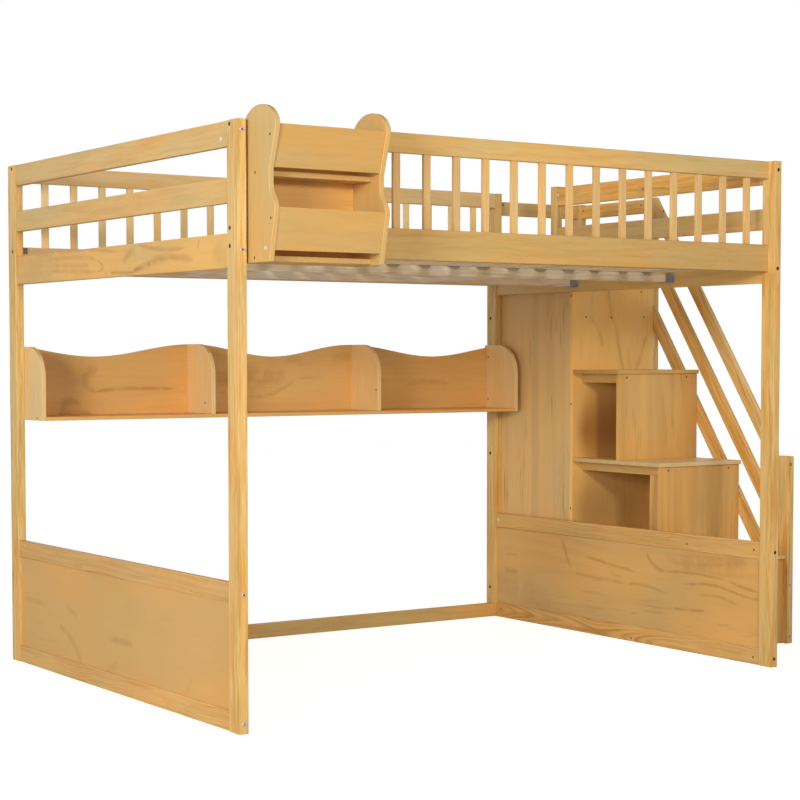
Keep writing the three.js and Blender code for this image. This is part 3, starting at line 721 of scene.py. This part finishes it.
def plated(name, colour, roughness, metallic=1.0):
    """Zinc, nickel, webbing or moulded caps: a slightly uneven skin."""
    finish, tree, shader = new_finish(name)
    place = node(tree, "ShaderNodeTexCoord").outputs["Object"]
    speck = noise(tree, place, (420.0, 420.0, 420.0), detail=3.0)
    dulled = [channel * 0.82 for channel in colour]
    skin = mix(tree, ramp(tree, speck, 0.3, 0.7), (*dulled, 1), (*colour, 1))
    dullness = ramp(tree, speck, 0.2, 0.8, roughness - 0.08, roughness + 0.1)
    feed(tree, shader, {"Base Color": skin, "Roughness": dullness, "Metallic": metallic})
    return finish


BOLT_STEEL = plated("nickel_bolts", (0.66, 0.52, 0.47), 0.5, metallic=0.6)
SCREW_STEEL = plated("dark_screws", (0.075, 0.055, 0.04), 0.6, metallic=0.2)
ANGLE_STEEL = plated("bronzed_angles", (0.20, 0.13, 0.08), 0.5, metallic=0.4)
BRACKET_STEEL = plated("zinc_brackets", (0.44, 0.45, 0.47), 0.42)
CAP_PLASTIC = plated("pale_nut_caps", (0.78, 0.64, 0.52), 0.45, metallic=0.0)
STRAP_WEB = plated("strap_webbing", (0.55, 0.52, 0.46), 0.8, metallic=0.0)


# Boards


def mark_grain(bm, faces, middle, along, flat, name):
    """Writes on each corner where it lies across, through and along its own board."""
    chance = random.Random(name)
    seeds = (chance.random(), chance.random())
    start = chance.uniform(0.0, 3.0)
    across = along.cross(flat)
    layers = bm.loops.layers.float_vector
    grain, board = (layers.get(label) or layers.new(label) for label in ("grain", "board"))
    for face in faces:
        cut = 1.0 if abs(face.normal.dot(along)) > LOOKS_ALONG else 0.0
        for loop in face.loops:
            reach = loop.vert.co - middle
            loop[grain] = (reach.dot(across), reach.dot(flat), reach.dot(along) + start)
            loop[board] = (*seeds, cut)


def ease_edges(bm, edges, width, segments):
    rounding = {"offset": width, "offset_type": "OFFSET", "segments": segments, "profile": 0.5}
    made = bmesh.ops.bevel(bm, geom=edges, affect="EDGES", clamp_overlap=True, material=-1, **rounding)
    for face in made["faces"]:
        face.smooth = True
    return made["faces"]


def board(bm, low, high, along, ease, name, end_ease=END_EASE):
    """One straight board between two corners, in millimetres: eased along its length, crisp at its ends."""
    others = set(bm.faces)
    low, high = at(*low), at(*high)
    size = high - low
    run = AXES[along]
    corners = bmesh.ops.create_cube(bm, size=1.0)["verts"]
    bmesh.ops.scale(bm, vec=size, verts=corners)
    bmesh.ops.translate(bm, vec=(low + high) / 2, verts=corners)
    edges = {edge for vert in corners for edge in vert.link_edges}
    long_edges = [e for e in edges if abs((e.verts[0].co - e.verts[1].co).normalized().dot(run)) > LOOKS_ALONG]
    ease_edges(bm, long_edges, ease * MM, 3)
    fresh = [face for face in bm.faces if face not in others]
    ends = [face for face in fresh if abs(face.normal.dot(run)) > LOOKS_ALONG]
    rims = list({edge for face in ends for edge in face.edges})
    if end_ease:
        ease_edges(bm, rims, end_ease * MM, 1)
    fresh = [face for face in bm.faces if face not in others]
    for face in fresh:
        face.normal_update()
    thin = min((axis for axis in "xyz" if axis != along), key=lambda axis: abs(size.dot(AXES[axis])))
    mark_grain(bm, fresh, (low + high) / 2, run, AXES[thin], name)
    return fresh


def piece(name, bm, finish, *nodes, body="bed"):
    """Turns a finished bmesh into an object that stands for its nodes and rides on a body."""
    mesh = bpy.data.meshes.new(name)
    bm.to_mesh(mesh)
    bm.free()
    for material in finish if isinstance(finish, tuple) else (finish,):
        mesh.materials.append(material)
    made = stand(name, mesh)
    if nodes:
        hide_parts(*nodes)
    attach(made, body)


def box_mm(name):
    """A node's corners in the model's own millimetres."""
    low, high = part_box(name)
    shift = Vector((ORIGIN_X, ORIGIN_Y, 0))
    return [Vector(corner) / MM + shift for corner in (low, high)]


def plain_board(name, along, ease, finish):
    """A node that is one straight board, post or rail."""
    bm = bmesh.new()
    low, high = box_mm(name)
    board(bm, low, high, along, ease, name)
    piece(name + "_wood", bm, finish, name)


def shaped_board(name, along, flat, ease, finish, body="bed", segments=2):
    """A node with a curved or cut outline: its own shape, with eased rims."""
    bm = bmesh.new()
    bm.from_mesh(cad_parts[name].data)
    bmesh.ops.remove_doubles(bm, verts=bm.verts, dist=WELD)
    bmesh.ops.dissolve_limit(bm, angle_limit=FLAT, verts=bm.verts, edges=bm.edges)
    bmesh.ops.recalc_face_normals(bm, faces=bm.faces)
    rims = [e for e in bm.edges if e.is_manifold and e.is_convex and e.calc_face_angle(0.0) > SHARP]
    rounded = set(ease_edges(bm, rims, ease * MM, segments))
    bm.normal_update()
    for edge in bm.edges:
        if not edge.is_manifold:
            continue
        first, second = edge.link_faces
        if (first in rounded) != (second in rounded):
            edge.smooth = False
        elif first not in rounded and BARELY_BENT < edge.calc_face_angle(0.0) < SOFT:
            first.smooth = second.smooth = True
    low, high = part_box(name)
    middle = (Vector(low) + Vector(high)) / 2
    mark_grain(bm, bm.faces, middle, AXES[along], AXES[flat], name)
    piece(name + "_wood", bm, finish, name, body=body)


# Bed frame


def bed_frame():
    for place in ("front_left", "back_left", "front_right", "back_right", "entry"):
        plain_board("post_" + place, "z", POST_EASE, POST_PINE)
    for place in ("foot", "corner", "back"):
        plain_board("stair_post_" + place, "z", POST_EASE, POST_PINE)
    for name in ("left_end_top_rail", "left_end_mid_rail", "right_end_mid_rail"):
        plain_board(name, "y", RAIL_EASE, RAIL_PINE)
    plain_board("right_end_top_rail", "y", RAIL_EASE, RIGHT_END_PINE)
    plain_board("left_end_board", "y", RAIL_EASE, LEFT_BOARD_PINE)
    plain_board("right_end_board", "y", RAIL_EASE, RAIL_PINE)
    plain_board("back_stretcher", "x", RAIL_EASE, RAIL_PINE)


def lower_panel(name, sheet_finish):
    """Two rails with a thin figured sheet let in between them."""
    low, high = box_mm(name)
    sheet = (low.x + high.x - LOWER_PANEL_PLY) / 2
    rails = bmesh.new()
    top = high.z - LOWER_PANEL_RAIL
    board(rails, low, (high.x, high.y, low.z + LOWER_PANEL_RAIL), "y", RAIL_EASE, name + "_lower")
    board(rails, (low.x, low.y, top), high, "y", RAIL_EASE, name + "_upper")
    piece(name + "_rails", rails, PANEL_RAIL_PINE, name)
    ply = bmesh.new()
    corner = (sheet, low.y, low.z + LOWER_PANEL_RAIL - LOWER_PANEL_GROOVE)
    far_corner = (sheet + LOWER_PANEL_PLY, high.y, top + LOWER_PANEL_GROOVE)
    board(ply, corner, far_corner, "y", PLY_EASE, name + "_sheet", 0)
    piece(name + "_sheet", ply, sheet_finish, name)


def guard(name, front, gaps, rail_finish, bar_finish):
    """A top rail with its row of balusters."""
    bm = bmesh.new()
    bars = bmesh.new()
    left, right = POST_THICKNESS, BED_LENGTH - POST_THICKNESS
    back = front + GUARD_THICKNESS
    board(bm, (left, front, GUARD_RAIL_BOTTOM), (right, back, BED_HEIGHT), "x", RAIL_EASE, name)
    near = front + (GUARD_THICKNESS - BALUSTER_THICKNESS) / 2
    first = left + gaps[0]
    last = right - gaps[1] - BALUSTER_WIDTH
    for index in range(BALUSTERS):
        x = first + (last - first) * index / (BALUSTERS - 1)
        corner = (x + BALUSTER_WIDTH, near + BALUSTER_THICKNESS, GUARD_RAIL_BOTTOM + BALUSTER_TENON)
        board(bars, (x, near, GUARD_BOARD_TOP), corner, "z", BALUSTER_EASE, f"{name}_bar_{index}", 0)
    piece(name + "_rail", bm, rail_finish, name)
    piece(name + "_balusters", bars, bar_finish, name)


def side_board(name, outer, inward, finish):
    """The board under a guard, with the ledge that carries the slats."""
    bm = bmesh.new()
    left, right = POST_THICKNESS, BED_LENGTH - POST_THICKNESS
    inner = outer + inward * GUARD_THICKNESS
    ledge = inner + inward * LEDGE_WIDTH
    face = sorted((outer, inner))
    step = sorted((inner, ledge))
    board(bm, (left, face[0], GUARD_BOARD_BOTTOM), (right, face[1], GUARD_BOARD_TOP), "x", RAIL_EASE, name)
    board(bm, (left, step[0], GUARD_BOARD_BOTTOM), (right, step[1], SLAT_BOTTOM), "x", LEDGE_EASE, name + "_ledge")
    piece(name + "_wood", bm, finish, name)


def mattress_support():
    plain_board("support_beam_front", "x", RAIL_EASE, SHADED_BEAM_WOOD)
    plain_board("support_beam_back", "x", RAIL_EASE, BEAM_WOOD)
    bm = bmesh.new()
    low, high = box_mm("slat_roll")
    first = low.x
    last = high.x - SLAT_WIDTH
    for index in range(SLATS):
        x = first + (last - first) * index / (SLATS - 1)
        corner = (x + SLAT_WIDTH, high.y, SLAT_BOTTOM + SLAT_THICKNESS)
        for face in board(bm, (x, low.y, SLAT_BOTTOM), corner, "y", SLAT_EASE, f"slat_{index}"):
            # Sides that look along the bed take the darker finish: painted shade in the gaps
            face.material_index = 1 if abs(face.normal.x) > LOOKS_ALONG else 0
    piece("slats", bm, (SLAT_WOOD, SLAT_SIDE_SHADE), "slat_roll")
    webs = bmesh.new()
    top = SLAT_BOTTOM + SLAT_THICKNESS
    for middle in STRAP_MIDDLES:
        corner = (high.x, middle + STRAP_WIDTH / 2, top + STRAP_THICKNESS)
        board(webs, (low.x, middle - STRAP_WIDTH / 2, top), corner, "x", STRAP_EASE, "strap", 0)
    piece("slat_straps", webs, STRAP_WEB, "slat_roll")


# Shelf and bookcase


def hanging_shelf():
    shaped_board("wave_shelf_back", "x", "y", BOARD_EASE, SHELF_PINE)
    plain_board("wave_shelf_bottom", "x", BOARD_EASE, SHELF_PINE)
    for upright in ("end_left", "end_right", "divider_left", "divider_right"):
        shaped_board("wave_shelf_" + upright, "z", "x", BOARD_EASE, UPRIGHT_PINE, segments=3)


def bookcase():
    for name in ("bookcase_side_left", "bookcase_side_right"):
        shaped_board(name, "z", "x", BOOKCASE_SIDE_EASE, BOOKCASE_SIDE_PINE_PAINTED_LIGHT, segments=3)
    for name in ("bookcase_front_lower", "bookcase_front_upper"):
        shaped_board(name, "x", "y", THIN_EASE, BOOKCASE_PINE)
    for name in ("bookcase_shelf_lower", "bookcase_shelf_upper"):
        plain_board(name, "x", BOARD_EASE, BOOKCASE_PINE)
    plain_board("bookcase_back", "x", PLY_EASE, RISER_PLY)


# Stairs and wardrobe


def stairs():
    for step in (1, 2, 3):
        # Treads 1 and 2 take the paler copy: painted light on their tops
        plain_board(f"tread_{step}", "x", BOARD_EASE, BOARD_PINE if step == 3 else TREAD_PINE_PAINTED_LIGHT)
        plain_board(f"stair_side_{step}", "z", PLY_EASE, RISER_PLY)
    for step in (1, 3):
        plain_board(f"riser_{step}", "z", PLY_EASE, RISER_PLY)
    bm = bmesh.new()
    low, high = box_mm("riser_2")
    inside = low.y + BOX_PANEL
    board(bm, low, (high.x, inside, high.z), "z", PLY_EASE, "riser_2")
    rail, _ = box_mm("cubby_rail_2")
    corner = (rail.x + BOX_PANEL, high.y, rail.z)
    board(bm, (rail.x, inside, low.z), corner, "z", PLY_EASE, "riser_2_stile", 0)
    piece("riser_2_wood", bm, RISER_PLY, "riser_2")
    for name in ("cubby_rail_2", "cubby_rail_3"):
        plain_board(name, "y", BOARD_EASE, BOARD_PINE)
    for name in ("handrail_low", "handrail_middle", "handrail_high"):
        shaped_board(name, "handrail", "x", RAIL_EASE, HANDRAIL_PINE)
    plain_board("landing_rail_side", "y", RAIL_EASE, RIGHT_END_PINE)
    plain_board("landing_rail_back", "x", RAIL_EASE, RAIL_PINE)


def wardrobe():
    shaped_board("landing_board", "x", "z", BOARD_EASE, BOARD_PINE)
    shaped_board("wardrobe_floor", "x", "z", PLY_EASE, RISER_PLY)
    plain_board("wardrobe_side", "z", PLY_EASE, SIDE_PLY)
    plain_board("wardrobe_front", "z", PLY_EASE, FRONT_PLY)
    plain_board("wardrobe_back", "z", PLY_EASE, RISER_PLY)
    shaped_board("wardrobe_door", "z", "x", BOARD_EASE, BOARD_PINE, body="door")
    shaped_board("clothes_rod", "y", "x", THIN_EASE, POST_PINE)


# Hardware


def facing(direction):
    """The turn that stands a shape built along +Z on a face looking in that direction."""
    return Vector((0, 0, 1)).rotation_difference(Vector(direction)).to_matrix().to_4x4()


def studs(name, spots, finish, radius, height, socket_radius, socket_depth, sides=18):
    """Bolt heads, screw heads or caps on faces: spots are (x, y, z, direction) in the model's millimetres."""
    bm = bmesh.new()
    rim = radius * STUD_TAPER
    for x, y, z, direction in spots:
        lift = Matrix.Translation((0, 0, height * MM / 2))
        made = bmesh.ops.create_cone(
            bm,
            cap_ends=True,
            cap_tris=False,
            segments=sides,
            radius1=radius * MM,
            radius2=rim * MM,
            depth=height * MM,
            matrix=Matrix.Translation(at(x, y, z)) @ facing(direction) @ lift,
        )
        faces = {face for vert in made["verts"] for face in vert.link_faces}
        outward = Vector(direction)
        top = max(faces, key=lambda face: face.calc_center_median().dot(outward))
        bmesh.ops.inset_region(bm, faces=[top], thickness=(rim - socket_radius) * MM)
        sunk = bmesh.ops.extrude_discrete_faces(bm, faces=[top])["faces"]
        bmesh.ops.translate(bm, vec=-outward * socket_depth * MM, verts=list(sunk[0].verts))
    piece(name, bm, finish)


LEFT, FRONT, RIGHT, BACK = (-1, 0, 0), (0, -1, 0), (1, 0, 0), (0, 1, 0)
STUD_TAPER = 0.84
BOLT_HEAD = {"radius": 7.0, "height": 1.4, "socket_radius": 3.4, "socket_depth": 1.8}
SUNK_BOLT = {"radius": 6.0, "height": 0.4, "socket_radius": 3.8, "socket_depth": 0.8}
NUT_CAP = {"radius": 6.5, "height": 0.9, "socket_radius": 4.2, "socket_depth": 0.4}
SCREW_HEAD = {"radius": 3.6, "height": 0.5, "socket_radius": 1.6, "socket_depth": 0.5, "sides": 12}
FRONT_BOLT_HEIGHTS = (1602, 1287, 373, 27)
BACK_BOLT_HEIGHTS = (1596, 1446, 1287, 374, 28)
LEFT_POST_BOLT = 15
RIGHT_POST_BOLT = BED_LENGTH - 14


def bolts():
    foot, _ = box_mm("stair_post_foot")
    spots = [(LEFT_POST_BOLT, 0, z, FRONT) for z in FRONT_BOLT_HEIGHTS]
    spots += [(x, BED_WIDTH, z, BACK) for x in (LEFT_POST_BOLT, RIGHT_POST_BOLT) for z in BACK_BOLT_HEIGHTS]
    spots += [(foot.x + POST_THICKNESS / 2, foot.y, z, FRONT) for z in (207, 27)]
    studs("frame_bolts", spots, BOLT_STEEL, **BOLT_HEAD)


def sunk_bolts():
    """Near-black bolt heads on the posts, most of them on the faces that look left: their dark finish also stands in
    as painted shade for counterbores, which are not cut.
    """
    foot, _ = box_mm("stair_post_foot")
    spots = [(foot.x + 12, foot.y, 629, FRONT)]
    spots += [(0, y, z, LEFT) for y, z in ((42, 1619), (42, 1346), (42, 1298), (1507, 1619), (1507, 1349))]
    spots += [(BED_LENGTH - POST_THICKNESS, 1517, z, LEFT) for z in (1580, 1153, 632, 111)]
    spots += [(RIGHT_POST_BOLT, 0, z, FRONT) for z in FRONT_BOLT_HEIGHTS]
    studs("sunk_bolts", spots, SCREW_STEEL, **SUNK_BOLT)


def nut_caps():
    spots = [
        (RAIL_SETBACK, 96, 1584, LEFT),
        (RIGHT_RAIL_FACE, 1110, 1597, LEFT),
        (RIGHT_RAIL_FACE, 1472, 375, LEFT),
        (box_mm("bookcase_side_left")[0].x, -85, 1288, LEFT),
        (350, -111, 1345, FRONT),
    ]
    studs("barrel_nut_caps", spots, CAP_PLASTIC, **NUT_CAP)


def screws():
    spots = []
    side, far_side = box_mm("bookcase_side_left")[0], box_mm("bookcase_side_right")[1]
    for y, z in ((-111, 1580), (-33, 1488), (-114, 1364), (-28, 1265)):
        spots += [(side.x, y, z, LEFT), (far_side.x, y, z, RIGHT)]
    for step in (1, 2, 3):
        low, high = box_mm(f"riser_{step}")
        spots += [(x, low.y, high.z - 13, FRONT) for x in (low.x + 37, high.x - 52)]
    front, _ = box_mm("wardrobe_front")
    spots += [(x, front.y, z, FRONT) for x, z in ((2320, 1248), (2335, 1154), (2175, 1150), (2053, 1151))]
    spots += [(front.x, front.y + 9, z, LEFT) for z in (1228, 831, 447)]
    for y, z in ((405, 369), (86, 375), (85, 23), (690, 12), (1452, 31)):
        spots += [(RIGHT_RAIL_FACE, y, z, LEFT), (LEFT_RAIL_BACK, y, z, RIGHT)]
    end, _ = box_mm("wave_shelf_end_right")
    spots += [(end.x, 1512, z, LEFT) for z in (1004, 842)]
    for name, y, z in (("end_left", 1385, 807), ("divider_left", 1393, 847), ("divider_right", 1355, 885)):
        spots.append((box_mm("wave_shelf_" + name)[0].x, y, z, LEFT))
    rail, _ = box_mm("landing_rail_side")
    spots += [(rail.x, 1128, 1581, LEFT), (rail.x, 1473, 1580, LEFT)]
    spots.append((2008, box_mm("landing_rail_back")[0].y, 1590, FRONT))
    spots.append((box_mm("handrail_high")[0].x, 996, 1550, LEFT))
    studs("panel_screws", spots, SCREW_STEEL, **SCREW_HEAD)


STEEL = 2.0
FLANGE = 12.0
STIRRUP_SPANS = ((24, 52), (1938, 1966))
ANGLE_REACH = 16.0
ANGLE_TOP = GUARD_BOARD_TOP - 2
ANGLE_HEIGHT = 20.0


def beam_brackets():
    """A bent steel stirrup under each end of the two beams."""
    bm = bmesh.new()
    bottom = BEAM_BOTTOM - STEEL
    for middle in (BED_WIDTH / 3, BED_WIDTH * 2 / 3):
        near, far = middle - BEAM_WIDTH / 2, middle + BEAM_WIDTH / 2
        for x0, x1 in STIRRUP_SPANS:
            wall = x0 if x0 < BED_LENGTH / 2 else x1 - STEEL
            plates = [((x0, near - STEEL, bottom), (x1, far + STEEL, BEAM_BOTTOM), "x")]
            for y in (near - STEEL, far):
                plates.append(((x0, y, BEAM_BOTTOM), (x1, y + STEEL, SLAT_BOTTOM), "x"))
            for y in (near - STEEL - FLANGE, far + STEEL):
                plates.append(((wall, y, bottom), (wall + STEEL, y + FLANGE, SLAT_BOTTOM), "z"))
            for low, high, along in plates:
                board(bm, low, high, along, STEEL_EASE, "stirrup", 0)
    piece("beam_stirrups", bm, BRACKET_STEEL)


def corner_brackets():
    """Angles that tie the side boards to the posts."""
    bm = bmesh.new()
    inner = GUARD_SETBACK + GUARD_THICKNESS
    for x in (POST_THICKNESS, BED_LENGTH - POST_THICKNESS - ANGLE_REACH):
        for y in (inner, BED_WIDTH - inner - STEEL):
            corner = (x + ANGLE_REACH, y + STEEL, ANGLE_TOP)
            board(bm, (x, y, ANGLE_TOP - ANGLE_HEIGHT), corner, "x", STEEL_EASE, "angle", 0)
    piece("corner_angles", bm, ANGLE_STEEL)


# Studio

# The camera that the photo's corners fit: place in metres, angles in radians, lens in millimetres
CAMERA_PLACE = (-3.66781, -5.10887, 1.00623)
CAMERA_HEADING = 0.594155
CAMERA_DIP = 0.049035
CAMERA_ROLL = -0.000340
CAMERA_LENS = 85.891
CAMERA_SENSOR = 36
CAMERA_RISE = 0.06258
CAMERA_REACH = 60
FRONT_POWER = 76
LEFT_POWER = 415
AMBIENT = 0.36
FLOOR_REACH = 14.0
FLOOR_GREY = (0.8, 0.8, 0.8, 1)
FLOOR_GLOW = 0.7
WHITE = (1, 1, 1, 1)


def photo_camera():
    ahead = Vector(
        (
            math.sin(CAMERA_HEADING) * math.cos(CAMERA_DIP),
            math.cos(CAMERA_HEADING) * math.cos(CAMERA_DIP),
            -math.sin(CAMERA_DIP),
        )
    )
    level = Vector((math.cos(CAMERA_HEADING), -math.sin(CAMERA_HEADING), 0))
    above = level.cross(ahead)
    side = math.cos(CAMERA_ROLL) * level + math.sin(CAMERA_ROLL) * above
    head = math.cos(CAMERA_ROLL) * above - math.sin(CAMERA_ROLL) * level
    lens = bpy.data.cameras.new("photo_camera")
    lens.lens = CAMERA_LENS
    lens.sensor_width = CAMERA_SENSOR
    lens.shift_y = CAMERA_RISE
    lens.clip_end = CAMERA_REACH
    camera = stand("photo_camera", lens)
    turn = Matrix((side, head, -ahead)).transposed().to_4x4()
    camera.matrix_world = Matrix.Translation(CAMERA_PLACE) @ turn
    bpy.context.scene.camera = camera


def softbox(name, place, aim, size, power):
    """A square soft lamp at one point, turned to another."""
    lamp = bpy.data.lights.new(name, "AREA")
    lamp.shape = "RECTANGLE"
    lamp.size = lamp.size_y = size
    lamp.energy = power
    start, end = at(*place), at(*aim)
    stand(name, lamp).matrix_world = Matrix.Translation(start) @ facing(start - end)


def studio():
    """White surroundings, a pale floor that keeps the bed's shadow, and two soft lamps."""
    bpy.context.scene.view_settings.view_transform = "Standard"
    world = bpy.data.worlds.new("white_studio")
    bpy.context.scene.world = world
    world.use_nodes = True
    tree = world.node_tree
    sky = tree.nodes["Background"]
    rays = node(tree, "ShaderNodeLightPath")
    seen = maths(tree, "MAXIMUM", rays.outputs["Is Camera Ray"], rays.outputs["Is Glossy Ray"])
    seen = maths(tree, "MAXIMUM", seen, rays.outputs["Is Transmission Ray"])
    feed(tree, sky, {"Color": WHITE, "Strength": ramp(tree, seen, 0.0, 1.0, AMBIENT, 1.0, "LINEAR")})

    bm = bmesh.new()
    bmesh.ops.create_grid(bm, x_segments=8, y_segments=8, size=FLOOR_REACH)
    mesh = bpy.data.meshes.new("pale_floor")
    bm.to_mesh(mesh)
    bm.free()
    paint, tree, shader = new_finish("pale_floor_paint")
    rays = node(tree, "ShaderNodeLightPath")
    glow = times(tree, rays.outputs["Is Camera Ray"], FLOOR_GLOW)
    feed(tree, shader, {"Base Color": FLOOR_GREY, "Roughness": 0.9, "Specular IOR Level": 0.0})
    feed(tree, shader, {"Emission Color": WHITE, "Emission Strength": glow})
    mesh.materials.append(paint)
    stand("pale_floor", mesh)

    softbox("front_box", (-350, -4400, 2150), (1300, 800, 800), 0.6, FRONT_POWER)
    softbox("left_box", (-6890, -3905, 2310), (900, 900, 900), 2.4, LEFT_POWER)


photo_camera()
studio()
bed_frame()
lower_panel("left_lower_panel", LEFT_PANEL_PLY)
lower_panel("right_lower_panel", RIGHT_PANEL_PLY)
guard("front_guard", GUARD_SETBACK, FRONT_BALUSTER_GAPS, RAIL_PINE, FRONT_BAR_PINE)
back_guard_front = BED_WIDTH - GUARD_SETBACK - GUARD_THICKNESS
guard("back_guard", back_guard_front, BACK_BALUSTER_GAPS, BACK_BOARD_PINE, BACK_BAR_PINE_PAINTED_LIGHT)
side_board("front_side_board", GUARD_SETBACK, 1, BOARD_PINE)
side_board("back_side_board", BED_WIDTH - GUARD_SETBACK, -1, BACK_BOARD_PINE)
mattress_support()
hanging_shelf()
bookcase()
stairs()
wardrobe()
bolts()
sunk_bolts()
nut_caps()
screws()
beam_brackets()
corner_brackets()
